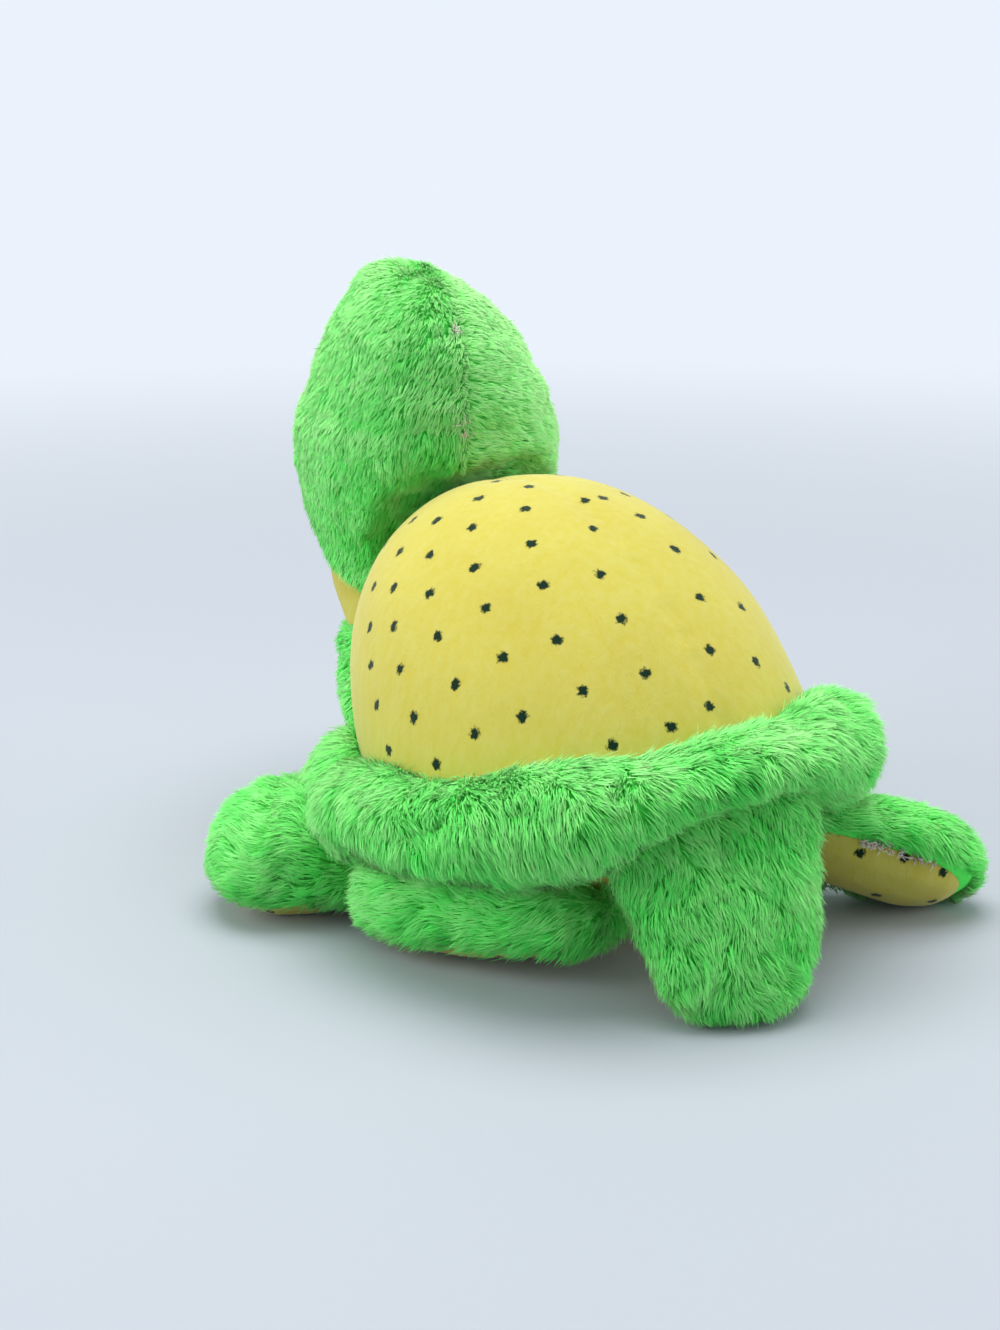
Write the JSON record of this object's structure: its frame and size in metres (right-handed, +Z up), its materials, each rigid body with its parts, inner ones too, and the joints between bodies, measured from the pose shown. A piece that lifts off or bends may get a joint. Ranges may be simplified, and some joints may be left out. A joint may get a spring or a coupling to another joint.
{
  "type": "plush turtle",
  "caption": "Stuffed plush turtle with a spotted velour shell, a long-pile green brim, a turned head, four flippers and a wedge tail on flexing seams.",
  "frame": {"origin": "on the tabletop under the middle of the body, on the flat of the belly", "axes": "+Z up, -Y towards the head, +X towards the turtle's left side"},
  "size_m": [0.171, 0.2285, 0.173],
  "materials": {
    "spotted_velour": "short-pile yellow velour with dark green pin dots",
    "plain_velour": "short-pile yellow velour",
    "green_plush": "long-pile green plush",
    "fibre_fill": "loose polyester fibre",
    "eye_plastic": "gloss black",
    "washer_plastic": "plain moulded"
  },
  "bodies": {
    "body": {"shell_panel_left": "spotted_velour", "shell_panel_right": "spotted_velour", "belly_panel": "plain_velour", "body_stuffing": "fibre_fill", "brim_cover": "green_plush", "brim_stuffing": "fibre_fill"},
    "neck": {"neck_cover": "green_plush", "neck_stuffing": "fibre_fill"},
    "head": {"head_cover_left": "green_plush", "head_cover_right": "green_plush", "chin_panel": "plain_velour", "head_stuffing": "fibre_fill", "eye_left": "eye_plastic", "eye_right": "eye_plastic", "eye_washer_left": "washer_plastic", "eye_washer_right": "washer_plastic"},
    "front_left_flipper": {"front_left_flipper_cover": "green_plush", "front_left_flipper_sole": "spotted_velour", "front_left_flipper_stuffing": "fibre_fill"},
    "front_right_flipper": {"front_right_flipper_cover": "green_plush", "front_right_flipper_sole": "spotted_velour", "front_right_flipper_stuffing": "fibre_fill"},
    "hind_left_leg": {"hind_left_leg_cover": "green_plush", "hind_left_leg_sole": "spotted_velour", "hind_left_leg_stuffing": "fibre_fill"},
    "hind_right_leg": {"hind_right_leg_cover": "green_plush", "hind_right_leg_sole": "spotted_velour", "hind_right_leg_stuffing": "fibre_fill"},
    "tail": {"tail_cover": "green_plush", "tail_sole": "spotted_velour", "tail_stuffing": "fibre_fill"}
  },
  "joints": [
    {"name": "neck_nod", "type": "hinge", "parent": "body", "child": "neck", "pos_m": [0, -0.082, 0.04], "axis": [1, 0, 0], "range_deg": [0, 14]},
    {"name": "head_turn", "type": "hinge", "parent": "neck", "child": "head", "pos_m": [0, -0.077, 0.063], "axis": [0, 0, 1], "range_deg": [-15, 15]},
    {"name": "front_left_flipper_swing", "type": "hinge", "parent": "body", "child": "front_left_flipper", "pos_m": [0.044, -0.036, 0.012], "axis": [0, 0, 1], "range_deg": [-15, 15]},
    {"name": "front_right_flipper_swing", "type": "hinge", "parent": "body", "child": "front_right_flipper", "pos_m": [-0.044, -0.036, 0.012], "axis": [0, 0, 1], "range_deg": [-15, 15]},
    {"name": "hind_left_leg_swing", "type": "hinge", "parent": "body", "child": "hind_left_leg", "pos_m": [0.03, 0.039, 0.012], "axis": [0, 0, 1], "range_deg": [-5, 40]},
    {"name": "hind_right_leg_swing", "type": "hinge", "parent": "body", "child": "hind_right_leg", "pos_m": [-0.03, 0.039, 0.012], "axis": [0, 0, 1], "range_deg": [-5, 40]},
    {"name": "tail_swing", "type": "hinge", "parent": "body", "child": "tail", "pos_m": [0, 0.056, 0.034], "axis": [0, 0, 1], "range_deg": [-12, 12]}
  ]
}
